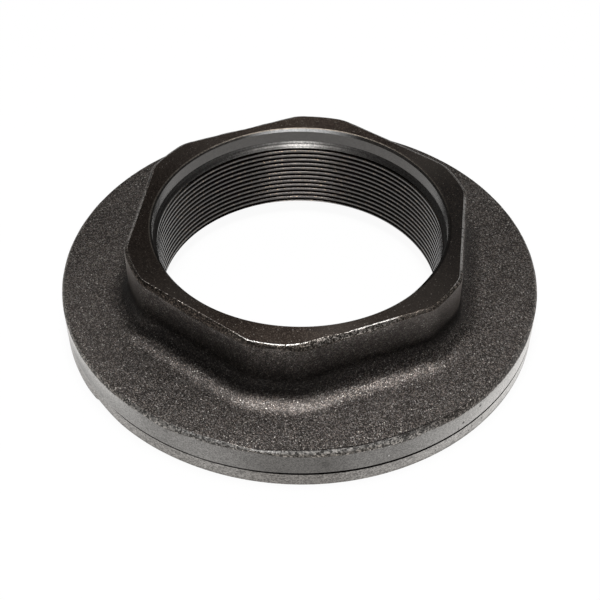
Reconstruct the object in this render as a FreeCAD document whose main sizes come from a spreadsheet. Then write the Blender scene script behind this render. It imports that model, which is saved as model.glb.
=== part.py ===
import FreeCAD, Part
import math
import os

import Sketcher

# Axle hub nut: a broad round flange, a forged hexagon that rises out of it, and a bore for a fine left-hand thread.
# It is one piece of forged steel, turned on the rim, on both end faces and in the bore. Millimetres, +Z up.
# The origin is on the axis in the flange's flat bearing face, and two of the hexagon's flats face along X.

NODE = "axle_hub_nut"
SIDES = 6

# Driving dimensions: name, millimetres, what it measures.
SIZES = (
    ("flange_diameter", 125.0, "upper, larger band of the turned rim"),
    ("flange_thickness", 12.0, "bearing face to the flange's upper face"),
    ("rim_band_height", 4.1, "bearing face to the line where the rim's two turned bands meet"),
    ("rim_band_step", 0.1, "how far the lower band lies inside the upper one"),
    ("rim_line_width", 0.5, "height of the scored line between the bands"),
    ("rim_line_depth", 0.25, "depth of the scored line below the lower band"),
    ("rim_edge_width", 1.1, "unturned edge over the rim, along the radius"),
    ("rim_edge_height", 1.1, "unturned edge over the rim, along the axis"),
    ("nut_height", 28.6, "bearing face to the hexagon's end face"),
    ("thread_diameter", 75.0, "nominal diameter of the thread"),
    ("thread_pitch", 1.5, "pitch of the thread"),
    ("minor_allowance", 0.2, "how far the bore is over the thread's basic minor diameter"),
    ("hexagon_wall", 4.6, "nominal thread to a flat of the hexagon"),
    ("corner_trim", 3.3, "how much the hexagon's corners are cut back, along the radius"),
    ("corner_blend", 8.0, "radius where a cut corner runs into a flat"),
    ("crown_edge", 0.9, "radius of the edge around the hexagon's end face"),
    ("foot_fillet", 6.0, "radius of the fillet between hexagon and flange"),
    ("mouth_chamfer_width", 0.85, "chamfer at the bore's mouth, along the radius"),
    ("mouth_chamfer_depth", 0.35, "chamfer at the bore's mouth, along the axis"),
    ("counterbore_clearance", 0.6, "how far the plain mouth of the bore is over the thread, on the diameter"),
    ("counterbore_depth", 3.5, "hexagon's end face to the end of the plain mouth"),
    ("lead_in_length", 1.75, "length of the cone from the plain mouth to the thread"),
    ("exit_chamfer_width", 5.0, "chamfer from the thread to the bearing face, along the radius"),
    ("exit_chamfer_depth", 4.2, "chamfer from the thread to the bearing face, along the axis"),
)

# Sizes that follow from the driving ones, as expressions on the sheet.
RIM_RADIUS = "sizes.flange_diameter / 2"
BAND_RADIUS = f"({RIM_RADIUS} - sizes.rim_band_step)"
FLAT_DISTANCE = "(sizes.thread_diameter / 2 + sizes.hexagon_wall)"
CORNER_RADIUS = f"({FLAT_DISTANCE} / cos(30 deg) - sizes.corner_trim)"
LEDGE_WIDTH = f"({RIM_RADIUS} - sizes.rim_edge_width - {CORNER_RADIUS})"
FOOT_RADIUS = f"min(sizes.foot_fillet; 0.9 * {LEDGE_WIDTH})"
MINOR_DIAMETER = "(sizes.thread_diameter - 1.25 * cos(30 deg) * sizes.thread_pitch + sizes.minor_allowance)"
MINOR_RADIUS = f"({MINOR_DIAMETER} / 2)"
MOUTH_RADIUS = "((sizes.thread_diameter + sizes.counterbore_clearance) / 2)"
MOUTH_END = "(sizes.nut_height - sizes.counterbore_depth)"
AXIS = "0"

# How near two lengths are taken to be the same.
NEAR = 1e-4


def make_sheet(doc):
    """The spreadsheet of driving dimensions, one aliased cell each."""
    sheet = doc.addObject("Spreadsheet::Sheet", "sizes")
    for row, (alias, size, note) in enumerate(SIZES, start=1):
        sheet.set(f"A{row}", alias)
        sheet.set(f"B{row}", str(size))
        sheet.setAlias(f"B{row}", alias)
        sheet.set(f"C{row}", note)
    doc.recompute()


def value(expression):
    """What an expression on the sheet comes to, in millimetres."""
    return float(FreeCAD.ActiveDocument.getObject("sizes").evalExpression(expression))


def new_sketch(body, name, plane):
    """An empty sketch on one of the body's own origin planes."""
    sketch = body.newObject("Sketcher::SketchObject", name)
    support = next(feature for feature in body.Origin.OriginFeatures if feature.Role == plane)
    sketch.AttachmentSupport = [(support, "")]
    sketch.MapMode = "FlatFace"
    return sketch


def bind(sketch, constraint, expression):
    """Adds a dimension to a sketch and binds it to the sheet."""
    index = sketch.addConstraint(constraint)
    sketch.setExpression(f"Constraints[{index}]", expression)


def section(body, name, corners):
    """A closed half section beside the axis: corners are (radius, height), as expressions on the sheet."""
    sketch = new_sketch(body, name, "XZ_Plane")
    points = [FreeCAD.Vector(value(radius), value(height), 0) for radius, height in corners]
    count = len(points)
    for i in range(count):
        sketch.addGeometry(Part.LineSegment(points[i], points[(i + 1) % count]))
    for i in range(count):
        sketch.addConstraint(Sketcher.Constraint("Coincident", i, 2, (i + 1) % count, 1))
    for i, (radius, height) in enumerate(corners):
        for kind, axis_line, expression in (("DistanceX", -2, radius), ("DistanceY", -1, height)):
            if expression == AXIS:
                sketch.addConstraint(Sketcher.Constraint("PointOnObject", i, 1, axis_line))
            else:
                bind(sketch, Sketcher.Constraint(kind, -1, 1, i, 1, value(expression)), expression)
    return sketch


def turn(body, kind, name, sketch):
    """A full turn of a section about the axis: a Revolution adds it, a Groove cuts it."""
    feature = body.newObject(f"PartDesign::{kind}", name)
    feature.Profile = sketch
    feature.ReferenceAxis = (sketch, ["V_Axis"])
    feature.Angle = 360
    FreeCAD.ActiveDocument.recompute()
    return feature


def add_flange(body):
    """The disc, with its rim turned in two bands and a rough unturned edge above them."""
    line_low = "(sizes.rim_band_height - sizes.rim_line_width / 2)"
    line_high = "(sizes.rim_band_height + sizes.rim_line_width / 2)"
    corners = (
        (AXIS, AXIS),
        (BAND_RADIUS, AXIS),
        (BAND_RADIUS, line_low),
        (f"{BAND_RADIUS} - sizes.rim_line_depth", "sizes.rim_band_height"),
        (RIM_RADIUS, line_high),
        (RIM_RADIUS, "sizes.flange_thickness - sizes.rim_edge_height"),
        (f"{RIM_RADIUS} - sizes.rim_edge_width", "sizes.flange_thickness"),
        (AXIS, "sizes.flange_thickness"),
    )
    return turn(body, "Revolution", "Flange", section(body, "FlangeSection", corners))


def hexagon_outline(body):
    """Six flats around a construction circle, with each corner cut back to an arc about the axis."""
    sketch = new_sketch(body, "HexagonOutline", "XY_Plane")
    flat, corner = value(FLAT_DISTANCE), value(CORNER_RADIUS)
    half_flat = math.acos(flat / corner)
    step = 2 * math.pi / SIDES
    centre = FreeCAD.Vector(0, 0, 0)
    upwards = FreeCAD.Vector(0, 0, 1)

    def on_corner_circle(angle):
        return FreeCAD.Vector(corner * math.cos(angle), corner * math.sin(angle), 0)

    flats, arcs = [], []
    for i in range(SIDES):
        ends = on_corner_circle(i * step - half_flat), on_corner_circle(i * step + half_flat)
        flats.append(sketch.addGeometry(Part.LineSegment(*ends)))
    for i in range(SIDES):
        sweep = i * step + half_flat, (i + 1) * step - half_flat
        arcs.append(sketch.addGeometry(Part.ArcOfCircle(Part.Circle(centre, upwards, corner), *sweep)))
    guide = sketch.addGeometry(Part.Circle(centre, upwards, flat), True)

    sketch.addConstraint(Sketcher.Constraint("Coincident", guide, 3, -1, 1))
    bind(sketch, Sketcher.Constraint("Radius", guide, flat), FLAT_DISTANCE)
    for arc in arcs:
        sketch.addConstraint(Sketcher.Constraint("Coincident", arc, 3, -1, 1))
    for i in range(SIDES):
        sketch.addConstraint(Sketcher.Constraint("Coincident", flats[i], 2, arcs[i], 1))
        sketch.addConstraint(Sketcher.Constraint("Coincident", arcs[i], 2, flats[(i + 1) % SIDES], 1))
        sketch.addConstraint(Sketcher.Constraint("Tangent", flats[i], guide))
    bind(sketch, Sketcher.Constraint("Radius", arcs[0], corner), CORNER_RADIUS)
    sketch.addConstraint(Sketcher.Constraint("Vertical", flats[0]))
    for first, second in zip(flats, flats[1:]):
        sketch.addConstraint(Sketcher.Constraint("Angle", first, 1, second, 1, step))
    return sketch


def edges_where(feature, wanted):
    """Names of a feature's edges that pass a test."""
    return [f"Edge{i}" for i, edge in enumerate(feature.Shape.Edges, start=1) if wanted(edge)]


def round_edges(body, name, base, wanted, radius):
    """Rounds the edges of the base feature that pass a test."""
    fillet = body.newObject("PartDesign::Fillet", name)
    fillet.Base = (base, edges_where(base, wanted))
    fillet.Radius = value(radius)
    fillet.setExpression("Radius", radius)
    FreeCAD.ActiveDocument.recompute()
    return fillet


def add_hexagon(body):
    """The hexagon, with blended corners, a filleted foot and a small round at its end face."""
    hexagon = body.newObject("PartDesign::Pad", "Hexagon")
    hexagon.Profile = hexagon_outline(body)
    hexagon.Length = value("sizes.nut_height")
    hexagon.setExpression("Length", "sizes.nut_height")
    FreeCAD.ActiveDocument.recompute()

    foot, top = value("sizes.flange_thickness"), value("sizes.nut_height")
    reach = value(CORNER_RADIUS) + NEAR

    def beside_axis(vertex):
        return math.hypot(vertex.X, vertex.Y) < reach

    def upright(edge):
        heights = sorted(vertex.Z for vertex in edge.Vertexes)
        return abs(heights[0] - foot) < NEAR and abs(heights[-1] - top) < NEAR

    def around_hexagon(height):
        return lambda edge: all(
            abs(vertex.Z - height) < NEAR and beside_axis(vertex) for vertex in edge.Vertexes
        )

    corners = round_edges(body, "CornerBlends", hexagon, upright, "sizes.corner_blend")
    filleted = round_edges(body, "FootFillet", corners, around_hexagon(foot), FOOT_RADIUS)
    return round_edges(body, "CrownEdge", filleted, around_hexagon(top), "sizes.crown_edge")


def cut_bore(body):
    """The bore at the thread's minor diameter, with a plain mouth and a cone above it and a chamfer below."""
    corners = (
        (AXIS, AXIS),
        (f"{MINOR_RADIUS} + sizes.exit_chamfer_width", AXIS),
        (MINOR_RADIUS, "sizes.exit_chamfer_depth"),
        (MINOR_RADIUS, f"{MOUTH_END} - sizes.lead_in_length"),
        (MOUTH_RADIUS, MOUTH_END),
        (MOUTH_RADIUS, "sizes.nut_height - sizes.mouth_chamfer_depth"),
        (f"{MOUTH_RADIUS} + sizes.mouth_chamfer_width", "sizes.nut_height"),
        (AXIS, "sizes.nut_height"),
    )
    return turn(body, "Groove", "Bore", section(body, "BoreSection", corners))


def check(doc, body):
    """Stops if a feature failed, or if the solid isn't one valid piece."""
    for item in doc.Objects:
        if "Invalid" in item.State or "Error" in item.State:
            raise RuntimeError(f"{item.Name} is {item.State}")
    shape = body.Shape
    if shape.isNull() or not shape.isValid() or len(shape.Solids) != 1:
        raise RuntimeError(f"{body.Label} is not one valid solid")


def main():
    doc = FreeCAD.newDocument(NODE)
    make_sheet(doc)
    body = doc.addObject("PartDesign::Body", "Nut")
    body.Label = NODE
    body.Placement = FreeCAD.Placement()

    flange = add_flange(body)
    crown = add_hexagon(body)
    bore = cut_bore(body)
    doc.recompute()
    check(doc, body)
    if not flange.Shape.Volume < crown.Shape.Volume or not bore.Shape.Volume < crown.Shape.Volume:
        raise RuntimeError("a feature added or cut nothing")

    os.makedirs("parts", exist_ok=True)
    body.Shape.exportStep(f"parts/{NODE}.step")
    print(f"{NODE}: {body.Shape.Volume:.0f} cubic millimetres, {len(body.Shape.Faces)} faces")


main()
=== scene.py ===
"""The looks of the axle hub nut: its finished surface, materials, light and camera."""
import math
from collections import namedtuple

import bmesh
import bpy
import numpy as np
from mathutils import Matrix, Vector, noise


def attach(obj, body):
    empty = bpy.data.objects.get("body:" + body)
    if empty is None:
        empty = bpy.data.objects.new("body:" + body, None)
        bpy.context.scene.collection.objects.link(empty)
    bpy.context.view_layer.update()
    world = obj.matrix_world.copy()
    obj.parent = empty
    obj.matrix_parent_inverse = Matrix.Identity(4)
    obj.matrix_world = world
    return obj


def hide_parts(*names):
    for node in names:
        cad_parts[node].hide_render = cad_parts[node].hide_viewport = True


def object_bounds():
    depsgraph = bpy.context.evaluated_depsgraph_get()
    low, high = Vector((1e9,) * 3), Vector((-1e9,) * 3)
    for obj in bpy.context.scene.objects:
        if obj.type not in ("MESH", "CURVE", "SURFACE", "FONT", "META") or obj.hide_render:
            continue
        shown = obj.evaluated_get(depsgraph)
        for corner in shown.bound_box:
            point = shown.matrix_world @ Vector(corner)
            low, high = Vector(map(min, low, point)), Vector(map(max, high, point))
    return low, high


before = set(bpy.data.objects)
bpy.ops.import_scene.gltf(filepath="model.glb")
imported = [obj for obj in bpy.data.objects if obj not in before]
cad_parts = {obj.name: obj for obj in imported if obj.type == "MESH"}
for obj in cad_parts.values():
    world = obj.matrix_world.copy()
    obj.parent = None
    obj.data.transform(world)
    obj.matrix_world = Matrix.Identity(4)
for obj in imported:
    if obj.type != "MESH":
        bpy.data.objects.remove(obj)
cad_low, cad_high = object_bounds()

NODE = "axle_hub_nut"
BODY = "root"

# One millimetre, in the scene's metres
MM = 0.001

# Sizes of the nut, in millimetres, as its solid has them
RIM_RADIUS = cad_high.x / MM
NUT_HEIGHT = cad_high.z / MM
FLANGE_TOP = 12.0
BAND_HEIGHT = 4.1
BAND_STEP = 0.1
RIM_EDGE_HEIGHT = 1.1
SIDES = 6
FLAT_DISTANCE = 42.1
CORNER_RADIUS = 45.31
CORNER_BLEND = 8.0
FOOT_FILLET = 6.0
CROWN_INSET = 0.9
MOUTH_RADIUS = 37.8
MOUTH_CHAMFER_DEPTH = 0.35
MOUTH_FLOOR = 25.1
LEAD_IN_END = 23.35
MINOR_RADIUS = 36.788
MAJOR_RADIUS = 37.5
THREAD_PITCH = 1.5
EXIT_CHAMFER_DEPTH = 4.2
EXIT_CHAMFER_WIDTH = 5.0

# Sizes that the finished surface has of its own, in millimetres
BOTTOM_EDGE = 0.2
LOWER_BAND_START = 1.0
LINE_WIDTH = 0.75
LINE_DEPTH = 0.5
LINE_LOWER_DEPTH = 0.25
LINE_LOW = BAND_HEIGHT - LINE_WIDTH / 2
LINE_HIGH = BAND_HEIGHT + LINE_WIDTH / 2
LINE_SLOPE = 0.05
LINE_MARGIN = 0.12
RIM_EDGE_WIDTH = 0.75
CROWN_STRIP_HEIGHT = 0.55
CROWN_CHIP = 0.55
BARE_EDGE_WIDTH = 0.17
LEAST_BARE_EDGE = 0.1
MOUTH_CHAMFER = 0.8
MOUTH_LIP = 0.3
MOUTH_EDGE_START = 0.33
NEXT_RING = 0.02
THREAD_CLEARANCE = 0.12
THREAD_RUN_OUT = 0.6
THREAD_TOP = MOUTH_FLOOR - THREAD_CLEARANCE
THREAD_BOTTOM = EXIT_CHAMFER_DEPTH - THREAD_RUN_OUT

# Shares: the middle of a rounded edge in its width, and the drop of a dent in its depth
EDGE_BULGE = 0.3
DENT_DROP = 0.5

# Shares of the thread's pitch: where its root is, half of the root's width, and where the first turn starts
ROOT_PLACE = 0.5
ROOT_HALF = 1 / 16
THREAD_START = 0.333

# Turns that the helix has past the ends of the thread, where they lie flat
SPARE_TURNS = 2

# Slopes in degrees: the bare edge of the crown, a flank of the thread
EDGE_SLOPE = 65.0
FLANK_ANGLE = 30.0

# How finely the surface is divided
COLUMNS = 480
ANGLES = np.arange(COLUMNS) * 2 * math.pi / COLUMNS
FACE_ROWS = 4
BAND_ROWS = 5
FLANGE_ROWS = 13
FILLET_ROWS = 12
WALL_ROWS = 5
MERGE_DISTANCE = 1e-7
SHARP_ANGLE = math.radians(20)

# Stretches of the way round that more than one thing follows: two bearings and a blur, in degrees
LINE_RIGHT = (304, 352, 10)
EDGE_RIGHT = (314, 343, 8)
LIP_FRONT = (218, 322, 12)

# Bearing of the notch in the rim's lower band, in degrees
NOTCH_BEARING = 223.2

# Rings of the rim's rough edge: shares of its width and height, and of how far it is broken and painted
# bright
EDGE_RINGS = (
    (0.1, 0.2, 0.0),
    (0.25, 0.42, 0.0),
    (0.45, 0.6, 0.6),
    (0.75, 0.85, 1.0),
    (1.0, 1.0, 1.0),
)

# Rings of the flange beside that edge: how far in from it, in millimetres
DARK_LINE_INSETS = (0.03, 0.25)
DARK_LINE_END = 0.5

# Painted shade in the hollow at the foot of the hexagon: turn of the fillet in degrees, and how dark the
# shade is there
CREASE_TURNS = (29, 42, 52, 75, 90)
CREASE_SHADE = (0.0, 0.9, 1.0, 1.0, 0.75)

# Turn of the fillet, in degrees, above which painted shade darkens the right of the foot too
STEEP_TURN = 60

# Rings of the crown's strip: share of its height, and 1 where the strip is scraped to the metal and has
# painted highlights
CROWN_RINGS = ((0.25, 0), (0.6, 1), (1.0, 1))

# Power of that share by which the strip draws in
CROWN_CURVE = 1.5

# Rings of the end face: share of the way in to the bore's mouth
END_FACE_RINGS = (0.03, 0.3, 0.6, 0.97)

# Marks on the rim: bearing in degrees, height and size in millimetres
RIM_NICKS = (
    (321.6, 8.2, 0.7),
    (316.4, 6.3, 0.6),
    (315.0, 5.0, 0.5),
    (319.6, 2.3, 0.45),
    (318.8, 1.3, 0.4),
    (315.9, 2.7, 0.4),
    (323.0, 2.4, 0.5),
    (306.9, 2.9, 0.3),
    (308.9, 1.6, 0.35),
    (254.4, 3.45, 0.25),
    (255.4, 3.4, 0.25),
    (256.4, 3.4, 0.25),
    (257.4, 3.4, 0.25),
    (258.4, 3.4, 0.25),
)
RIM_SMUDGES = (
    (283.0, 7.5, 2.2),
    (247.3, 9.4, 1.2),
    (226.6, 5.4, 1.1),
)
RIM_DOTS = (
    (297.0, 6.6, 0.35),
    (296.9, 10.3, 0.4),
    (297.8, 10.7, 0.45),
    (298.5, 11.0, 0.4),
)
LINE_GAPS = (
    (300.2, 3.8, 0.5),
)

# Colour of the nicks, in both bands
NICK_COLOR = (0.045, 0.04, 0.038)

# A mark's ragged outline: size of its noise in millimetres, shares of its size where it starts and is full
MARK_NOISE = 0.6
MARK_START = 1.4
MARK_FULL = 0.7

# Sockets of a Mix node that belong to its colours
MIX_FIRST = 6
MIX_SECOND = 7
MIX_RESULT = 2

# Middle of the random numbers, and the turn that lays gloss across the marks of a lathe
CHANCE_MIDDLE = 0.5
QUARTER_TURN = 0.25

# Floor and light, in metres and degrees, with a brightness at which 1 is white
FLOOR_SIZE = 40.0
KEY_ELEVATION = 88.0
KEY_DISTANCE = 0.8
KEY_SIZE = 0.28
KEY_BRIGHTNESS = 18.0

# Camera, in degrees, metres and pixels, from the fit of the rim, the hexagon and the bore to the photograph
CAMERA_AZIMUTH = 7.293
CAMERA_ELEVATION = 44.309
CAMERA_DISTANCE = 0.327112
CAMERA_ROLL = 0.323
CAMERA_FOCAL_PIXELS = 1202.276
AIM_RIGHT = 0.021
AIM_UP = -0.040

# Picture in pixels, sensor in millimetres, and the nearest thing that the camera sees in metres
IMAGE_PIXELS = 600
SENSOR_WIDTH = 36.0
CAMERA_NEAREST = 0.01

# Distance from the middle of a grain, and the grain's two random numbers
Grains = namedtuple("Grains", "middle chance tint")


class Nodes:
    """The nodes of a material or of the world, with short calls for the kinds that they share."""

    def __init__(self, owner):
        owner.use_nodes = True
        self.tree = owner.node_tree

    def node(self, kind, **settings):
        """A new node, with its settings."""
        made = self.tree.nodes.new(kind)
        for name, value in settings.items():
            setattr(made, name, value)
        return made

    def plug(self, socket, value):
        """Feeds a socket from another one, or sets its number or its opaque colour."""
        if isinstance(value, bpy.types.NodeSocket):
            self.tree.links.new(value, socket)
        elif isinstance(value, tuple):
            socket.default_value = (*value, 1.0)
        else:
            socket.default_value = value

    def math(self, operation, *values):
        """The result of a sum on sockets and numbers."""
        made = self.node("ShaderNodeMath", operation=operation)
        for socket, value in zip(made.inputs, values):
            self.plug(socket, value)
        return made.outputs[0]

    def ramp(self, value, start, end, low=0.0, high=1.0):
        """A smooth step from low to high as the value goes from start to end."""
        made = self.node("ShaderNodeMapRange", interpolation_type="SMOOTHSTEP")
        inputs = {"Value": value, "From Min": start, "From Max": end, "To Min": low, "To Max": high}
        for name, number in inputs.items():
            self.plug(made.inputs[name], number)
        return made.outputs["Result"]

    def axes(self, place):
        """A place's three numbers, by the names of their axes."""
        made = self.node("ShaderNodeSeparateXYZ")
        self.plug(made.inputs[0], place)
        return made.outputs


class Finish(Nodes):
    """A steel surface: a material whose shader is metal, with short calls for what the finishes share."""

    def __init__(self, name):
        self.material = bpy.data.materials.new(name)
        super().__init__(self.material)
        self.shader = self.tree.nodes["Principled BSDF"]
        self.place = self.node("ShaderNodeTexCoord").outputs["Object"]

    def noise(self, size, detail=2.0, roughness=0.5, place=None):
        """Noise whose features are about one size in millimetres, from 0 to 1."""
        made = self.node("ShaderNodeTexNoise")
        self.plug(made.inputs["Vector"], place or self.place)
        made.inputs["Scale"].default_value = 1 / (size * MM)
        made.inputs["Detail"].default_value = detail
        made.inputs["Roughness"].default_value = roughness
        return made.outputs["Fac"]

    def grains(self, size):
        """Grains of about one size in millimetres."""
        made = self.node("ShaderNodeTexVoronoi")
        self.plug(made.inputs["Vector"], self.place)
        made.inputs["Scale"].default_value = 1 / (size * MM)
        parts = self.node("ShaderNodeSeparateColor")
        self.plug(parts.inputs[0], made.outputs["Color"])
        return Grains(made.outputs["Distance"], parts.outputs[0], parts.outputs[1])

    def drawn_out(self, share):
        """Coordinates in which noise is drawn out across the axis, more so the smaller the share."""
        made = self.node("ShaderNodeMapping")
        self.plug(made.inputs["Vector"], self.place)
        made.inputs["Scale"].default_value = (share, share, 1.0)
        return made.outputs[0]

    def rings(self):
        """Coordinates that run out from the axis and along it, the same all the way round."""
        axes = self.axes(self.place)
        squares = [self.math("MULTIPLY", axes[name], axes[name]) for name in "XY"]
        made = self.node("ShaderNodeCombineXYZ")
        self.plug(made.inputs["X"], self.math("SQRT", self.math("ADD", *squares)))
        self.plug(made.inputs["Z"], axes["Z"])
        return made.outputs[0]

    def layer(self, name):
        """A value kept at the points of the mesh."""
        made = self.node("ShaderNodeAttribute", attribute_name=name)
        return made.outputs["Fac"]

    def mix(self, factor, first, second):
        """A blend of two colours."""
        made = self.node("ShaderNodeMix", data_type="RGBA")
        self.plug(made.inputs[0], factor)
        self.plug(made.inputs[MIX_FIRST], first)
        self.plug(made.inputs[MIX_SECOND], second)
        return made.outputs[MIX_RESULT]

    def swung(self, base, chance, amount):
        """A base that a number from 0 to 1 moves up and down, by half an amount each way."""
        return self.plus(base, self.math("SUBTRACT", chance, CHANCE_MIDDLE), amount)

    def rare(self, chance, power):
        """Random numbers most of which are made small, so that few grains stand out."""
        return self.math("POWER", chance, power)

    def part(self, value, share):
        """A share of a value."""
        return self.math("MULTIPLY", value, share)

    def plus(self, first, second, share):
        """A value plus a share of another one."""
        return self.math("MULTIPLY_ADD", second, share, first)

    def domes(self, grains):
        """Relief in which each grain is highest in its middle."""
        return self.math("SUBTRACT", 1.0, grains.middle)

    def speckle(self, chance, dull, bright):
        """Random numbers times one share where the metal is dull, and another where the layer of wear and
        painted highlights makes it bright.
        """
        return self.part(chance, self.plus(dull, self.layer("wear_and_highlight"), bright - dull))

    def mark(self, bearing, height, size):
        """1 at a place on the rim, falling to 0 at a ragged distance from it."""
        turn = math.radians(bearing)
        point = Vector((RIM_RADIUS * math.cos(turn), RIM_RADIUS * math.sin(turn), height))
        away = self.node("ShaderNodeVectorMath", operation="DISTANCE")
        self.plug(away.inputs[0], self.place)
        away.inputs[1].default_value = point * MM
        ragged = self.plus(away.outputs["Value"], self.noise(MARK_NOISE), size * MM)
        return self.ramp(ragged, MARK_START * size * MM, MARK_FULL * size * MM)

    def marks(self, places):
        """The marks of a list, all in one mask."""
        mask = 0.0
        for bearing, height, size in places:
            mask = self.math("MAXIMUM", self.mark(bearing, height, size), mask)
        return mask

    def bump(self, height, depth):
        """Surface relief of a depth in millimetres."""
        made = self.node("ShaderNodeBump")
        made.inputs["Distance"].default_value = depth * MM
        self.plug(made.inputs["Height"], height)
        self.plug(self.shader.inputs["Normal"], made.outputs[0])

    def turned(self, amount):
        """Gloss drawn out across marks that run round the axis."""
        tangent = self.node("ShaderNodeTangent", direction_type="RADIAL", axis="Z")
        self.plug(self.shader.inputs["Tangent"], tangent.outputs[0])
        self.shader.inputs["Anisotropic"].default_value = amount
        self.shader.inputs["Anisotropic Rotation"].default_value = QUARTER_TURN

    def surface(self, color, roughness):
        """The colour and the roughness of the metal."""
        self.shader.inputs["Metallic"].default_value = 1.0
        self.plug(self.shader.inputs["Base Color"], color)
        self.plug(self.shader.inputs["Roughness"], roughness)


def forged_skin(finish):
    """Black forging skin with a sandy grain, with painted shade in the hollow at the foot of the hexagon,
    and a pale colour for painted highlights.
    """
    black = (0.046, 0.0405, 0.0377)
    charcoal = (0.058, 0.0517, 0.0483)
    sand = (0.385, 0.32, 0.275)
    grey = (0.328, 0.314, 0.303)
    glint = (0.8, 0.76, 0.7)
    # Pale colour of painted highlights
    bare_and_lit = (0.6, 0.54, 0.5)
    # Dark colour of painted shade
    dirt_and_shade = (0.009, 0.0083, 0.0083)
    grains = finish.grains(size=0.22)
    patches = finish.ramp(finish.noise(size=9.0, detail=3.0), start=0.35, end=0.65)
    dark = finish.mix(patches, black, charcoal)
    pale = finish.mix(grains.tint, sand, grey)
    skin = finish.mix(finish.rare(grains.chance, power=3.0), dark, pale)
    skin = finish.mix(finish.ramp(grains.tint, start=0.975, end=1.0), skin, glint)
    skin = finish.mix(finish.layer("wear_and_highlight"), skin, bare_and_lit)
    skin = finish.mix(finish.part(finish.layer("shade_and_tone"), share=0.75), skin, dirt_and_shade)
    finish.surface(skin, roughness=0.38)
    finish.bump(finish.math("SUBTRACT", finish.noise(size=0.7, detail=1.0), grains.middle), depth=0.05)


def crown_strip(finish):
    """The rough brown-black strip round the top of the walls, darker in one stretch, with metal showing
    along its upper edge and painted highlights there.
    """
    black = (0.05, 0.044, 0.039)
    sand = (0.3, 0.25, 0.21)
    dirt_and_shade = (0.014, 0.011, 0.0095)
    brown = (0.16, 0.125, 0.1)
    tan = (0.45, 0.35, 0.26)
    silver = (0.7, 0.69, 0.68)
    grains = finish.grains(size=0.24)
    few = finish.rare(grains.chance, power=4.0)
    strip = finish.mix(finish.layer("shade_and_tone"), finish.mix(few, black, sand), finish.mix(few, dirt_and_shade, brown))
    ragged = finish.swung(finish.layer("wear_and_highlight"), finish.noise(size=0.9), amount=0.8)
    rubbed_and_lit = finish.ramp(finish.swung(ragged, grains.chance, amount=0.5), start=0.45, end=0.9)
    bare_and_lit = finish.mix(finish.layer("wear_and_highlight"), tan, silver)
    finish.surface(finish.mix(rubbed_and_lit, strip, bare_and_lit), roughness=0.4)
    finish.bump(finish.domes(grains), depth=0.05)


def rough_edge(finish):
    """The rough top edge of the rim: broken skin with a painted highlight in front, dark on the right."""
    black = (0.03, 0.026, 0.022)
    sand = (0.45, 0.4, 0.35)
    grey = (0.14, 0.132, 0.125)
    white = (1.0, 0.98, 0.95)
    charcoal = (0.042, 0.037, 0.033)
    dim = (0.36, 0.32, 0.29)
    grains = finish.grains(size=0.36)
    skin = finish.mix(finish.rare(grains.chance, power=3.0), black, sand)
    broken = finish.mix(grains.chance, grey, white)
    dark = finish.mix(finish.rare(grains.chance, power=4.0), charcoal, dim)
    edge = finish.mix(finish.layer("wear_and_highlight"), skin, broken)
    finish.surface(finish.mix(finish.layer("shade_and_tone"), edge, dark), roughness=0.55)
    finish.bump(finish.domes(grains), depth=0.06)


def turned_rim(finish):
    """The smooth upper band of the rim, with a painted reflection that is brighter round the sides, and
    faint smudges, nicks and dots.
    """
    dull = (0.2, 0.19, 0.179)
    bright = (0.985, 0.96, 0.925)
    dirt_and_shade = (0.05, 0.048, 0.046)
    dot = (0.9, 0.88, 0.84)
    grains = finish.grains(size=0.22)
    # The bright colour is a painted reflection
    steel = finish.mix(finish.layer("wear_and_highlight"), dull, bright)
    steel = finish.mix(finish.speckle(grains.chance, dull=0.7, bright=0.4), steel, dirt_and_shade)
    steel = finish.mix(finish.part(finish.marks(RIM_SMUDGES), share=0.3), steel, dirt_and_shade)
    steel = finish.mix(finish.marks(RIM_NICKS), steel, NICK_COLOR)
    steel = finish.mix(finish.marks(RIM_DOTS), steel, dot)
    lines = finish.noise(size=0.25, roughness=0.6, place=finish.drawn_out(share=0.02))
    finish.surface(steel, roughness=0.38)
    finish.bump(finish.plus(lines, grains.middle, share=0.25), depth=0.02)
    finish.turned(amount=0.7)


def score_line(finish):
    """The scored line round the rim, dark with painted shade, and lighter where it fades out and at a gap.
    """
    dirt_and_shade = (0.022, 0.02, 0.019)
    unshaded = (0.5, 0.48, 0.46)
    rubbed_and_lit = finish.math("MAXIMUM", finish.layer("wear_and_highlight"), finish.marks(LINE_GAPS))
    finish.surface(finish.mix(rubbed_and_lit, dirt_and_shade, unshaded), roughness=0.5)


def pitted_steel(finish):
    """The lower band of the rim and the face below it, which are pitted and stained, with a painted
    reflection on the lower band.
    """
    dull = (0.362, 0.34, 0.317)
    bright = (1.0, 0.975, 0.94)
    stain = (0.08, 0.074, 0.067)
    pit = (0.08, 0.075, 0.07)
    grains = finish.grains(size=0.32)
    stained = finish.ramp(finish.noise(size=3.5, detail=3.0, roughness=0.6), start=0.3, end=0.7)
    # The bright colour is a painted reflection
    steel = finish.mix(finish.layer("wear_and_highlight"), dull, bright)
    steel = finish.mix(finish.part(stained, share=0.14), steel, stain)
    steel = finish.mix(finish.speckle(grains.chance, dull=0.88, bright=0.38), steel, pit)
    steel = finish.mix(finish.marks(RIM_NICKS), steel, NICK_COLOR)
    finish.surface(steel, roughness=0.42)
    finish.bump(finish.domes(grains), depth=0.03)
    finish.turned(amount=0.6)


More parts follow.
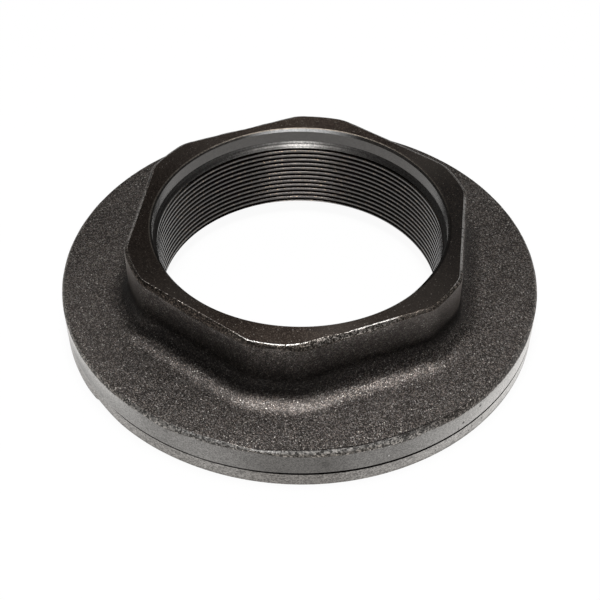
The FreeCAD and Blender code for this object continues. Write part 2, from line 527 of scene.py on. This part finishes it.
def faced_steel(finish):
    """The faced end: brown-black and smoother than the forging, with marks round the axis, paler where
    sheen is painted on and greyer on the right.
    """
    black = (0.023, 0.0172, 0.0144)
    brown = (0.033, 0.025, 0.0207)
    grey = (0.0235, 0.0215, 0.0215)
    sand = (0.1, 0.08, 0.066)
    pale = (0.1, 0.088, 0.078)
    glint = (0.22, 0.2, 0.18)
    grains = finish.grains(size=0.2)
    lines = finish.noise(size=0.4, roughness=0.6, place=finish.rings())
    smudge = finish.ramp(finish.noise(size=7.0, detail=3.0), start=0.3, end=0.7)
    color = finish.mix(smudge, black, brown)
    color = finish.mix(finish.layer("shade_and_tone"), color, grey)
    color = finish.mix(finish.rare(grains.chance, power=4.0), color, sand)
    color = finish.mix(finish.layer("wear_and_highlight"), color, pale)
    color = finish.mix(finish.ramp(grains.tint, start=0.985, end=0.995), color, glint)
    finish.surface(color, roughness=0.6)
    finish.bump(finish.plus(lines, grains.middle, share=0.4), depth=0.03)
    finish.turned(amount=0.65)


def mouth_lip(finish):
    """The outer edge of the bore's mouth, with a painted highlight in specks."""
    black = (0.03, 0.026, 0.023)
    brown = (0.2, 0.17, 0.14)
    sand = (0.6, 0.52, 0.44)
    grains = finish.grains(size=0.28)
    bare_and_lit = finish.mix(grains.chance, brown, sand)
    finish.surface(finish.mix(finish.layer("wear_and_highlight"), black, bare_and_lit), roughness=0.6)
    finish.bump(grains.middle, depth=0.02)
    finish.turned(amount=0.8)


def mouth_edge(finish):
    """The narrow chamfer at the bore's mouth, dark and smooth, with a painted highlight at the back."""
    black = (0.02, 0.018, 0.017)
    charcoal = (0.05, 0.046, 0.042)
    silver = (0.6, 0.6, 0.6)
    white = (0.95, 0.95, 0.95)
    grains = finish.grains(size=0.28)
    dull = finish.mix(grains.chance, black, charcoal)
    back_highlight = finish.mix(grains.chance, silver, white)
    finish.surface(finish.mix(finish.layer("wear_and_highlight"), dull, back_highlight), roughness=0.3)
    finish.bump(grains.middle, depth=0.01)


def lead_in(finish):
    """The turned cone between the plain mouth and the thread, its gloss drawn out across its marks, with a
    painted highlight at the back.
    """
    charcoal = (0.06, 0.057, 0.054)
    grey = (0.12, 0.115, 0.11)
    silver = (0.35, 0.34, 0.33)
    white = (0.85, 0.82, 0.79)
    groove = (0.08, 0.075, 0.07)
    grains = finish.grains(size=0.28)
    lines = finish.ramp(finish.noise(size=0.35, detail=1.0, place=finish.rings()), start=0.35, end=0.65)
    dull = finish.mix(grains.chance, charcoal, grey)
    back_highlight = finish.mix(grains.chance, silver, white)
    steel = finish.mix(finish.layer("wear_and_highlight"), dull, back_highlight)
    finish.surface(finish.mix(finish.part(lines, share=0.5), steel, groove), roughness=0.5)
    finish.bump(finish.plus(grains.middle, lines, share=0.5), depth=0.01)
    finish.turned(amount=0.97)


def bore_steel(finish, grains, shine, dark, light, bright):
    """Turned steel in the bore, with fine marks round it, brightest where the shine is 1."""
    lines = finish.noise(size=0.2, roughness=0.6, place=finish.drawn_out(share=0.03))
    steel = finish.mix(grains.chance, dark, light)
    finish.surface(finish.mix(shine, steel, bright), roughness=0.22)
    finish.bump(finish.plus(lines, grains.middle, share=0.3), depth=0.02)
    finish.turned(amount=0.4)


def bore_wall(finish):
    """The plain wall above the thread, which glints on the left and on the right."""
    dark = (0.09, 0.086, 0.083)
    light = (0.115, 0.11, 0.105)
    glint = (0.9, 0.88, 0.86)
    bore_steel(finish, finish.grains(size=0.28), finish.layer("wear_and_highlight"), dark, light, glint)


def speckled_thread(finish, dark, light, speck):
    """The steel of the thread, with a few bright specks."""
    grains = finish.grains(size=0.28)
    bore_steel(finish, grains, finish.ramp(grains.tint, start=0.85, end=1.0), dark, light, speck)


def thread_flank(finish):
    """The dark sides and roots of the thread."""
    dark = (0.03, 0.0275, 0.026)
    light = (0.055, 0.05, 0.047)
    speck = (0.14, 0.105, 0.076)
    speckled_thread(finish, dark, light, speck)


def thread_crest(finish):
    """The paler crests of the thread."""
    dark = (0.08, 0.077, 0.075)
    light = (0.12, 0.114, 0.11)
    speck = (0.24, 0.2, 0.165)
    speckled_thread(finish, dark, light, speck)


# Finishes, in the order of the mesh's material slots
FINISHES = {
    "forged_skin": forged_skin,
    "crown_strip": crown_strip,
    "rough_edge": rough_edge,
    "turned_rim": turned_rim,
    "score_line": score_line,
    "scored_rim": pitted_steel,
    "end_face": faced_steel,
    "mouth_lip": mouth_lip,
    "mouth_edge": mouth_edge,
    "bore_wall": bore_wall,
    "lead_in": lead_in,
    "thread_flank": thread_flank,
    "thread_crest": thread_crest,
    "bearing_face": pitted_steel,
}
FINISH_NAMES = list(FINISHES)


class Rows:
    """Rings of points round the axis, each joined to the ring before it by a strip of one finish."""

    def __init__(self):
        self.radius = []
        self.height = []
        # Real wear together with painted highlights and reflections, at every point
        self.wear_and_highlight = []
        # Painted shade, and a few darker or greyer tones, at every point
        self.shade_and_tone = []
        self.finish = []
        self.helix_start = None
        self.helix_end = None
        self.helix_shift = 0

    def ring(self, finish, radius, height, wear_and_highlight=0.0, shade_and_tone=0.0):
        """Adds a ring, whose values are one number or one for every bearing."""
        columns = (self.radius, self.height, self.wear_and_highlight, self.shade_and_tone)
        for column, value in zip(columns, (radius, height, wear_and_highlight, shade_and_tone)):
            column.append(np.broadcast_to(value, ANGLES.shape))
        self.finish.append(FINISH_NAMES.index(finish))


def ring_points(radius, height):
    """Points round the axis, in millimetres, at a radius and a height on every bearing."""
    across = radius * np.cos(ANGLES)
    return np.stack([across, radius * np.sin(ANGLES), np.broadcast_to(height, across.shape)], axis=-1)


def ripple(radius, height, size, depth):
    """Smooth bumps and hollows of one size, worked out at the points of a ring."""
    points = ring_points(radius, height) / size
    return depth * np.array([noise.noise(Vector(point)) for point in points])


def degrees_from(bearing):
    """How far round the axis each column is from a bearing, in degrees."""
    return np.abs((np.degrees(ANGLES) - bearing + 180) % 360 - 180)


def near(bearing, width):
    """1 at one bearing round the axis, in degrees, falling smoothly to 0 at half the width from it."""
    away = degrees_from(bearing) / (width / 2)
    return np.where(away < 1, 0.5 + 0.5 * np.cos(math.pi * away), 0.0)


def between(start, end, blur):
    """1 from one bearing round to another, in degrees, falling to 0 over a blur past each of them."""
    away = degrees_from((start + end) / 2)
    return np.clip(1 - (away - (end - start) / 2) / blur, 0, 1)


def hexagon_radius(offset):
    """Distance from the axis to the hexagon's outline, moved outwards by an offset, on every bearing."""
    flat = FLAT_DISTANCE + offset
    corner = CORNER_RADIUS + offset
    blend = CORNER_BLEND + offset
    half_side = math.pi / SIDES
    bearing = np.abs((ANGLES + half_side) % (2 * half_side) - half_side)
    blend_x = flat - blend
    blend_y = np.sqrt((corner - blend) ** 2 - blend_x ** 2)
    along = blend_x * np.cos(bearing) + blend_y * np.sin(bearing)
    on_blend = along + np.sqrt(np.maximum(along ** 2 - blend_x ** 2 - blend_y ** 2 + blend ** 2, 0))
    on_flat = flat / np.cos(bearing)
    ends = bearing < np.arctan2(blend_y, blend_x)
    return np.where(bearing < np.arctan2(blend_y, flat), on_flat, np.where(ends, on_blend, corner))


def bearing_face(rows):
    """The flat ring that the nut lies on, with its broken outer edge."""
    inner = MINOR_RADIUS + EXIT_CHAMFER_WIDTH
    outer = lower_band_radius()
    sharper = 0.12 * between(262, 352, 10)
    edge = BOTTOM_EDGE - sharper
    for share in np.linspace(0, 1, FACE_ROWS):
        rows.ring("bearing_face", inner + share * (outer - edge - inner), 0.0)
    rows.ring("bearing_face", outer - EDGE_BULGE * edge, EDGE_BULGE * edge)
    rows.ring("bearing_face", outer, edge)


def lower_band_radius():
    """Radius of the rim's lower band, which is cut in from the upper one on the left of the front."""
    all_round = 0.4
    cut_in = 1.6 * between(223, 262, 20) * (1 - between(190, 219, 4))
    notch = 3 * np.where(np.degrees(ANGLES) > NOTCH_BEARING, near(NOTCH_BEARING, 24), 0)
    return RIM_RADIUS - BAND_STEP * (all_round + cut_in + notch)


def rim_reflection():
    """Painted reflection on the turned rim: dull in front and at the back, with brighter and duller
    patches.
    """
    dull = near(268, 150) + 0.75 * near(94, 170)
    brighter = 0.23 * near(258, 34) + 0.22 * near(332, 40) + 0.09 * near(237, 20)
    duller = 0.1 * near(284.5, 16) + 0.16 * near(301, 26) + 0.4 * near(216, 24)
    return 1 - dull + brighter - duller


def upper_reflection():
    """Painted reflection on the rim's upper band."""
    right = 0.28 * near(345, 30)
    return 0.7 * rim_reflection() + right


def lower_reflection():
    """Painted reflection on the rim's lower band."""
    right = 0.3 * near(342, 50)
    front = 0.05 * near(264, 20)
    return 0.59 * rim_reflection() + right + front


def lower_band(rows):
    """The pitted lower band of the rim, up to the scored line, with its painted reflection."""
    radius = lower_band_radius()
    # More painted reflection on the front right
    front_right = 0.14 * near(305, 50)
    for height in np.linspace(LOWER_BAND_START, LINE_LOW - LINE_MARGIN, FACE_ROWS):
        rows.ring("scored_rim", radius, height, lower_reflection() + front_right)
    rows.ring("scored_rim", radius, LINE_LOW - NEXT_RING, lower_reflection())


def scored():
    """Depth of the line between the rim's bands, as a share: it fades out on the left and at the back."""
    whole = between(231, 352, 4)
    shallow_left = 0.25 * between(240, 270, 8) + 0.2 * near(255, 12)
    shallow_right = 0.2 * near(302, 14)
    return whole - shallow_left - shallow_right


def rim_line(rows):
    """The scored line between the rim's two bands, whose painted shade fades with its depth, with painted
    shade on its lower lip in two stretches.
    """
    lower = lower_band_radius()
    depth = scored()
    right = between(*LINE_RIGHT)
    below_upper = RIM_RADIUS - LINE_DEPTH * (depth + 0.3 * right)
    below_lower = lower - LINE_LOWER_DEPTH * depth
    bottom = np.minimum(below_lower, below_upper)
    # Painted shade on the lower lip, in place of the bands' painted reflection
    shaded_lip = between(226, 240, 6) + right
    rows.ring("score_line", lower, LINE_LOW, lower_reflection() * (1 - shaded_lip))
    rows.ring("score_line", bottom, LINE_LOW + LINE_SLOPE, 1 - depth)
    rows.ring("score_line", bottom, LINE_HIGH - LINE_SLOPE, 1 - depth)
    rows.ring("score_line", RIM_RADIUS, LINE_HIGH, upper_reflection())


def upper_band_top():
    """Height of the ragged line where the turned rim ends and the rough edge of the forging starts."""
    left = 0.3 * between(210, 231, 6) + 0.6 * near(247, 14)
    front = 0.6 * between(276, 304, 8) + 0.4 * near(300, 9)
    right = 1.2 * between(*EDGE_RIGHT)
    ragged = ripple(RIM_RADIUS, 0, size=4.0, depth=0.15)
    return FLANGE_TOP - RIM_EDGE_HEIGHT - left - front - right + ragged


def upper_band(rows):
    """The smooth upper band of the rim, with painted streaks of reflection on the left that grow towards
    its top.
    """
    top = upper_band_top()
    for share in np.linspace(0, 1, BAND_ROWS + 1)[1:]:
        left = (0.35 * share - 0.14) * between(200, 231, 10) + 0.34 * share ** 2 * near(214, 26)
        far_left = 0.42 * share ** 3 * near(196, 36)
        right = 0.1 * share * between(*EDGE_RIGHT)
        shine = upper_reflection() + left + far_left - right
        rows.ring("turned_rim", RIM_RADIUS, LINE_HIGH + share * (top - LINE_HIGH), shine)


def rim_edge_width():
    """Width of the rough edge at the top of the rim, which is narrow on the left and narrowest in front."""
    left = 0.4 * between(212, 231, 6)
    front = 0.6 * near(268, 16) + 0.2 * between(272, 290, 6)
    return RIM_EDGE_WIDTH - left - front


def rim_edge(rows):
    """The rough edge above the rim: broken in front with a painted highlight there, scuffed beside that and
    dark on the right.
    """
    bottom = upper_band_top()
    width = rim_edge_width()
    top = flange_height(RIM_RADIUS - width)
    broken = 0.35 * between(252, 296, 4) + 0.65 * near(270, 14)
    broken = broken + 0.2 * between(252, 261, 3) + 0.12 * between(280, 287, 4)
    scuffed = 0.1 + 0.2 * between(238, 262, 4) + 0.16 * between(297, 308, 4)
    dark = 0.9 * between(311, 345, 5)
    for inset, rise, bare_and_lit in EDGE_RINGS:
        radius = RIM_RADIUS - width * inset
        height = bottom + (top - bottom) * rise
        dents = np.abs(ripple(radius, height, size=1.2, depth=0.03))
        rows.ring("rough_edge", radius - dents, height - DENT_DROP * dents, scuffed + broken * bare_and_lit, dark)


def flange_height(radius):
    """Height of the forged top of the flange, which is a little uneven."""
    return FLANGE_TOP + ripple(radius, 0, size=5.0, depth=0.03) + ripple(radius, 0, size=14.0, depth=0.05)


def flange_top(rows):
    """The forged top of the flange, from the rim's edge in to the foot of the hexagon, with a thin dark
    line along that edge in front, painted shade towards the foot and painted light near the edge on the
    left.
    """
    outer = RIM_RADIUS - rim_edge_width()
    inner = hexagon_radius(FOOT_FILLET)
    shade = 0.05 * between(260, 320, 20)
    dark_line = np.maximum(between(271, 307, 5), shade)
    pale_edge = 0.027 * near(215, 50)
    for inset in DARK_LINE_INSETS:
        rows.ring("forged_skin", outer - inset, flange_height(outer - inset), pale_edge, dark_line)
    line_end = outer - DARK_LINE_END
    rows.ring("forged_skin", line_end, flange_height(line_end), pale_edge, shade)
    for share in np.linspace(0, 1, FLANGE_ROWS + 1)[1:]:
        radius = outer + share * (inner - outer)
        # Painted shade towards the foot, mostly on the left and in front
        left = 0.45 * share * near(233, 75) + 0.08 * near(165, 50)
        front = 0.22 * share ** 2 * between(250, 290, 8)
        # Painted light near the outer edge on the left
        pale = 0.015 * near(200, 60) + (1 - share) * pale_edge
        rows.ring("forged_skin", radius, flange_height(radius), pale, shade + left + front)


def foot_shade():
    """How dark the painted shade at the foot of the hexagon is: faint on the right and thinner in two
    places.
    """
    right = 0.85 * near(0, 100)
    left = 0.25 * near(218, 28)
    front = 0.25 * near(299, 50)
    return 1 - right - left - front


def foot(rows):
    """The fillet at the foot of the hexagon, with painted shade that is darkest in the hollow just above
    the flange, and a faint painted highlight in front.
    """
    least = 0.35 * near(228, 70) + 0.2 * between(252, 290, 8) + 0.1 * between(292, 312, 8)
    lift = 20 * near(320, 110) + 8 * near(280, 60)
    right = 0.5 * near(350, 80)
    # Painted highlight on the fillet in front
    fillet_highlight = 0.05 * between(258, 280, 12)
    for turn in np.linspace(0, 90, FILLET_ROWS + 1)[1:]:
        radius = hexagon_radius(FOOT_FILLET * (1 - math.sin(math.radians(turn))))
        height = FLANGE_TOP + FOOT_FILLET * (1 - math.cos(math.radians(turn)))
        shade_and_tone = foot_shade() * np.interp(turn - lift, CREASE_TURNS, CREASE_SHADE)
        shade_and_tone = np.maximum(shade_and_tone, least) + right * (turn > STEEP_TURN)
        uneven = ripple(radius, height, size=9.0, depth=0.04)
        rows.ring("forged_skin", radius + uneven, height, fillet_highlight, shade_and_tone)


def wall_highlight():
    """How pale the painted highlights make the walls, most of all at the corners on the left and on the
    right.
    """
    flats = 0.07 + 0.3 * near(0, 90) + 0.12 * near(300, 60) + 0.25 * near(325, 50) + 0.07 * near(240, 60)
    corners = 0.8 * near(206, 30) + 0.45 * near(335, 18)
    glints = 0.5 * near(203, 10) + 0.5 * near(340, 8)
    return 0.46 * np.minimum(flats + corners, 1) + glints


def walls(rows):
    """The six forged walls, whose painted shade thins out towards the top, with painted highlights."""
    start = FLANGE_TOP + FOOT_FILLET
    end = NUT_HEIGHT - crown_drop()
    radius = hexagon_radius(0)
    for share in np.linspace(0, 1, WALL_ROWS + 1)[1:]:
        height = start + share * (end - start)
        dirt_and_shade = foot_shade() * (0.7 - 0.5 * share)
        # Painted light high up on the left corner, which lifts the painted shade there
        rubbed_and_lit = 0.4 * share * between(203, 212, 4)
        uneven = ripple(radius, height, size=9.0, depth=0.06)
        rows.ring("forged_skin", radius + uneven, height, wall_highlight(), dirt_and_shade - rubbed_and_lit)


def crown_drop():
    """Height of the rough strip round the top of the walls, which is deepest on the left of the front."""
    left = 1.6 * near(240, 70)
    front = 0.2 * near(290, 90) + 0.7 * between(278, 302, 8)
    ragged = ripple(CORNER_RADIUS, 0, size=6.0, depth=0.2)
    return CROWN_STRIP_HEIGHT + left + front + ragged


def crown_inset():
    """How far the top of the walls is drawn in, which is most where the edge is chipped in front."""
    return CROWN_INSET + CROWN_CHIP * between(277, 287, 4)


def crown(rows):
    """The rough strip above the walls, darker on the front left, and the narrow edge above that where the
    metal shows, with painted highlights along it.
    """
    drop = crown_drop()
    corner = between(261, 278, 4)
    flat = between(295, 309, 4)
    # Painted highlights along the edge, with the wear there, on the left and on the right
    left_wear_and_sheen = 0.6 * between(172, 199, 5)
    right_wear_and_sheen = 0.45 * between(335, 379, 3) + 0.3 * between(343, 379, 3)
    flecks = 0.05 + 0.22 * corner + 0.52 * between(282, 310, 4)
    darker_strip = 0.8 * between(218, 252, 6)
    bare_and_lit = 0.55 + 0.3 * corner + 0.3 * flat - 0.35 * between(313, 326, 3) + 0.35 * between(338, 379, 6)
    ragged = ripple(CORNER_RADIUS, 0, size=1.2, depth=0.2) * (corner + flat)
    width = np.maximum(BARE_EDGE_WIDTH + 0.14 * corner + 0.1 * flat + ragged, LEAST_BARE_EDGE)
    edge_in = width * math.sin(math.radians(EDGE_SLOPE))
    edge_down = width * math.cos(math.radians(EDGE_SLOPE))
    start = crown_inset() - edge_in
    for share, rubbed_and_lit in CROWN_RINGS:
        radius = hexagon_radius(-start * share ** CROWN_CURVE)
        radius = radius + ripple(radius, NUT_HEIGHT, size=1.5, depth=0.06)
        height = NUT_HEIGHT - drop + share * (drop - edge_down)
        rows.ring("crown_strip", radius, height, flecks + (left_wear_and_sheen + right_wear_and_sheen) * rubbed_and_lit, darker_strip)
    bulge_in = hexagon_radius(-start - EDGE_BULGE * edge_in)
    rows.ring("crown_strip", bulge_in, NUT_HEIGHT - (1 - EDGE_BULGE) * edge_down, bare_and_lit)
    rows.ring("crown_strip", hexagon_radius(-crown_inset()), NUT_HEIGHT, bare_and_lit)


def end_face(rows):
    """The faced end of the hexagon, in to the bore's mouth, with patches of painted sheen and a greyer tone
    on the right.
    """
    outer = hexagon_radius(-crown_inset())
    inner = MOUTH_RADIUS + lip_width()
    front = 0.2 * near(225, 70) + 0.2 * near(231, 26) + 0.35 * near(291, 36) + 0.5 * near(325, 70)
    right = 0.06 * near(350, 34) + 0.12 * near(8, 56)
    back = 0.6 * near(42, 44) + 0.25 * near(140, 60)
    grey = near(8, 130)
    for share in END_FACE_RINGS:
        rows.ring("end_face", outer + share * (inner - outer), NUT_HEIGHT, front + right + back, grey)
    rows.ring("end_face", inner, NUT_HEIGHT, lip_highlight(), grey)


def lip_width():
    """Width of the chamfer at the bore's mouth, which is cut a little off centre."""
    back = 0.6 * near(82, 135)
    front = 0.14 * between(*LIP_FRONT)
    return MOUTH_CHAMFER + back - front


def lip_depth():
    """Depth of the chamfer at the bore's mouth, which is steeper in front."""
    return MOUTH_CHAMFER_DEPTH + 0.5 * between(*LIP_FRONT)


def lip_highlight():
    """How bright the painted highlight on the lip of the bore's mouth is, most of all at the back."""
    return 0.35 * between(24, 205, 15) + 0.65 * near(97, 150)


def mouth(rows):
    """The chamfer and the plain counterbore above the thread, with painted highlights at the back of the
    chamfer and painted glints on the wall's left and right.
    """
    wall_top = NUT_HEIGHT - lip_depth()
    back_highlight = near(97, 55)
    glint = near(190, 22) + near(3, 20)
    lip_rings = (("mouth_lip", MOUTH_LIP, lip_highlight()), ("mouth_edge", MOUTH_EDGE_START, back_highlight))
    for finish, inset, wear_and_highlight in lip_rings:
        height = NUT_HEIGHT - lip_depth() * inset / lip_width()
        rows.ring(finish, MOUTH_RADIUS + lip_width() - inset, height, wear_and_highlight)
    rows.ring("mouth_edge", MOUTH_RADIUS, wall_top, back_highlight)
    for height in np.linspace(wall_top - NEXT_RING, MOUTH_FLOOR, BAND_ROWS):
        rows.ring("bore_wall", MOUTH_RADIUS, height, glint)


def bore_radius(height):
    """Radius of the bore without its thread: the lead-in cone, the minor bore and the exit chamfer."""
    lead_in_slope = (MOUTH_RADIUS - MINOR_RADIUS) / (MOUTH_FLOOR - LEAD_IN_END)
    exit_slope = EXIT_CHAMFER_WIDTH / EXIT_CHAMFER_DEPTH
    on_lead_in = (height - LEAD_IN_END) * lead_in_slope
    on_exit = (EXIT_CHAMFER_DEPTH - height) * exit_slope
    return MINOR_RADIUS + np.maximum(np.maximum(on_lead_in, on_exit), 0)


def thread(rows):
    """A left-hand thread whose rows follow the helix, running out into the cones at its two ends."""
    flank = (MAJOR_RADIUS - MINOR_RADIUS) * math.tan(math.radians(FLANK_ANGLE)) / THREAD_PITCH
    profile = (
        ("thread_crest", ROOT_PLACE - ROOT_HALF - flank, MINOR_RADIUS),
        ("thread_flank", ROOT_PLACE - ROOT_HALF, MAJOR_RADIUS),
        ("thread_flank", ROOT_PLACE + ROOT_HALF, MAJOR_RADIUS),
        ("thread_flank", ROOT_PLACE + ROOT_HALF + flank, MINOR_RADIUS),
    )
    turns = math.ceil((THREAD_TOP - THREAD_BOTTOM) / THREAD_PITCH) + SPARE_TURNS
    climb = THREAD_PITCH * (1 + THREAD_START - ANGLES / (2 * math.pi))
    # Painted highlight at the back of the lead-in cone
    back_highlight = 0.74 * near(97, 24) + 0.3 * near(110, 130)
    rows.ring("lead_in", bore_radius(THREAD_TOP), THREAD_TOP, back_highlight)
    rows.helix_start = len(rows.radius) - 1
    for turn in range(turns):
        for finish, phase, radius in profile:
            height = THREAD_TOP + climb - THREAD_PITCH * (turn + phase)
            height = np.clip(height, THREAD_BOTTOM, THREAD_TOP)
            rows.ring(finish, np.maximum(bore_radius(height), radius), height, back_highlight)
    rows.ring("thread_flank", bore_radius(THREAD_BOTTOM), THREAD_BOTTOM)
    rows.helix_end = len(rows.radius) - 1
    rows.helix_shift = len(profile)


def surface_rows():
    """All the rings of the nut's surface, from the floor out, up and back down through the bore."""
    rows = Rows()
    outside = (bearing_face, lower_band, rim_line, upper_band, rim_edge, flange_top, foot, walls, crown)
    inside = (end_face, mouth, thread)
    for section in outside + inside:
        section(rows)
    return rows


def row_faces(rows):
    """Four-sided faces between neighbouring rows, with each row of the thread meeting the next turn."""
    count = len(rows.radius)
    faces = []
    finishes = []
    for row in range(count):
        after = (row + 1) % count
        in_helix = rows.helix_start <= row < rows.helix_end
        finish = np.full(COLUMNS, rows.finish[after])
        if in_helix:
            middle = (rows.height[row] + rows.height[after]) / 2
            finish[middle > LEAD_IN_END] = FINISH_NAMES.index("lead_in")
        finishes.extend(finish.tolist())
        for column in range(COLUMNS):
            beside = (column + 1) % COLUMNS
            low = row
            high = after
            if in_helix and beside == 0:
                low = min(row + rows.helix_shift, rows.helix_end)
                high = min(after + rows.helix_shift, rows.helix_end)
            faces.append((
                row * COLUMNS + column,
                low * COLUMNS + beside,
                high * COLUMNS + beside,
                after * COLUMNS + column,
            ))
    return faces, finishes


def make_nut():
    """The nut as one closed mesh, with its wear, painted highlights and painted shade kept at its points.
    """
    rows = surface_rows()
    points = ring_points(np.array(rows.radius), np.array(rows.height)) * MM
    faces, finishes = row_faces(rows)
    mesh = bpy.data.meshes.new("axle_hub_nut_skin")
    mesh.from_pydata(points.reshape(-1, 3).tolist(), [], faces)
    mesh.polygons.foreach_set("material_index", finishes)
    # The first layer holds real wear with painted highlights and reflections; the second holds painted
    # shade and a few darker or greyer tones
    for name, values in (("wear_and_highlight", rows.wear_and_highlight), ("shade_and_tone", rows.shade_and_tone)):
        layer = mesh.attributes.new(name, "FLOAT", "POINT")
        layer.data.foreach_set("value", np.array(values).ravel())
    shaped = bmesh.new()
    shaped.from_mesh(mesh)
    bmesh.ops.remove_doubles(shaped, verts=shaped.verts, dist=MERGE_DISTANCE)
    shaped.to_mesh(mesh)
    shaped.free()
    mesh.polygons.foreach_set("use_smooth", [True] * len(mesh.polygons))
    mesh.set_sharp_from_angle(angle=SHARP_ANGLE)
    nut = bpy.data.objects.new("nut_skin", mesh)
    bpy.context.collection.objects.link(nut)
    return nut


def add_finishes(nut):
    """Gives the nut a material for each finish."""
    for name, dress in FINISHES.items():
        finish = Finish(name)
        dress(finish)
        nut.data.materials.append(finish.material)


def floor_white():
    """White that glows to the eye and in reflections, and otherwise lights the nut as plain paint does."""
    plain_color = (0.8, 0.8, 0.8)
    seen_color = (0.08, 0.08, 0.08)
    seen_glow = 0.94
    material = bpy.data.materials.new("floor_white")
    nodes = Nodes(material)
    nodes.tree.nodes.clear()
    path = nodes.node("ShaderNodeLightPath")
    seen = path.outputs["Is Camera Ray"]
    for name in ("Is Glossy Ray", "Is Transmission Ray"):
        seen = nodes.math("MAXIMUM", seen, path.outputs[name])
    plain = nodes.node("ShaderNodeBsdfDiffuse")
    nodes.plug(plain.inputs["Color"], plain_color)
    shadowed = nodes.node("ShaderNodeBsdfDiffuse")
    nodes.plug(shadowed.inputs["Color"], seen_color)
    glow = nodes.node("ShaderNodeEmission")
    nodes.plug(glow.inputs["Strength"], seen_glow)
    both = nodes.node("ShaderNodeAddShader")
    nodes.plug(both.inputs[0], shadowed.outputs[0])
    nodes.plug(both.inputs[1], glow.outputs[0])
    choice = nodes.node("ShaderNodeMixShader")
    for socket, value in zip(choice.inputs, (seen, plain.outputs[0], both.outputs[0])):
        nodes.plug(socket, value)
    output = nodes.node("ShaderNodeOutputMaterial")
    nodes.plug(output.inputs["Surface"], choice.outputs[0])
    return material


def make_floor():
    """A white floor out to the horizon, which keeps the nut's shadow."""
    half = FLOOR_SIZE / 2
    corners = [(-half, -half, 0), (half, -half, 0), (half, half, 0), (-half, half, 0)]
    mesh = bpy.data.meshes.new("floor")
    mesh.from_pydata(corners, [], [(0, 1, 2, 3)])
    mesh.materials.append(floor_white())
    floor = bpy.data.objects.new("floor", mesh)
    bpy.context.collection.objects.link(floor)


def make_world():
    """A dim room with a paler wall behind the nut, brighter high up than low down."""
    white = (1.0, 1.0, 1.0)
    room = 0.1
    wall_low = 0.12
    wall_high = 0.3
    world = bpy.data.worlds.new("room")
    nodes = Nodes(world)
    axes = nodes.axes(nodes.node("ShaderNodeTexCoord").outputs["Generated"])
    wall = nodes.ramp(axes["Z"], start=0.3, end=0.6, low=wall_low, high=wall_high)
    strength = nodes.ramp(axes["Y"], start=0.0, end=0.5, low=room, high=wall)
    background = nodes.tree.nodes["Background"]
    nodes.plug(background.inputs["Color"], white)
    nodes.plug(background.inputs["Strength"], strength)
    bpy.context.scene.world = world


def direction(azimuth, elevation):
    """Unit vector from the nut to a bearing: azimuth 0 is in front, 90 on the right."""
    turn = math.radians(azimuth)
    rise = math.radians(elevation)
    return Vector((math.sin(turn) * math.cos(rise), -math.cos(turn) * math.cos(rise), math.sin(rise)))


def make_key_lamp():
    """A square soft box almost straight above the nut, of a brightness at which 1 is white."""
    lamp = bpy.data.lights.new("key", "AREA")
    lamp.shape = "RECTANGLE"
    lamp.size = KEY_SIZE
    lamp.size_y = KEY_SIZE
    lamp.energy = KEY_BRIGHTNESS * math.pi * KEY_SIZE * KEY_SIZE
    holder = bpy.data.objects.new("key", lamp)
    toward = direction(CAMERA_AZIMUTH, KEY_ELEVATION)
    holder.location = toward * KEY_DISTANCE
    holder.rotation_euler = toward.to_track_quat("Z", "Y").to_euler()
    bpy.context.collection.objects.link(holder)


def make_camera():
    """The photograph's view, from a little to the right of the nut's front."""
    data = bpy.data.cameras.new("camera")
    data.sensor_width = SENSOR_WIDTH
    data.lens = SENSOR_WIDTH * CAMERA_FOCAL_PIXELS / IMAGE_PIXELS
    data.clip_start = CAMERA_NEAREST
    camera = bpy.data.objects.new("camera", data)
    back = direction(CAMERA_AZIMUTH, CAMERA_ELEVATION)
    up = Vector((0, 0, 1))
    right = up.cross(back).normalized()
    over = back.cross(right)
    ahead = -back + math.tan(math.radians(AIM_RIGHT)) * right + math.tan(math.radians(AIM_UP)) * over
    ahead.normalize()
    right = ahead.cross(up).normalized()
    over = right.cross(ahead)
    level = Matrix((right, over, -ahead)).transposed()
    rolled = level @ Matrix.Rotation(math.radians(CAMERA_ROLL), 3, "Z")
    camera.matrix_world = Matrix.Translation(back * CAMERA_DISTANCE) @ rolled.to_4x4()
    bpy.context.collection.objects.link(camera)
    bpy.context.scene.camera = camera


nut = make_nut()
add_finishes(nut)
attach(nut, BODY)
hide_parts(NODE)

make_floor()
make_world()
make_key_lamp()
make_camera()
bpy.context.scene.view_settings.view_transform = "Standard"
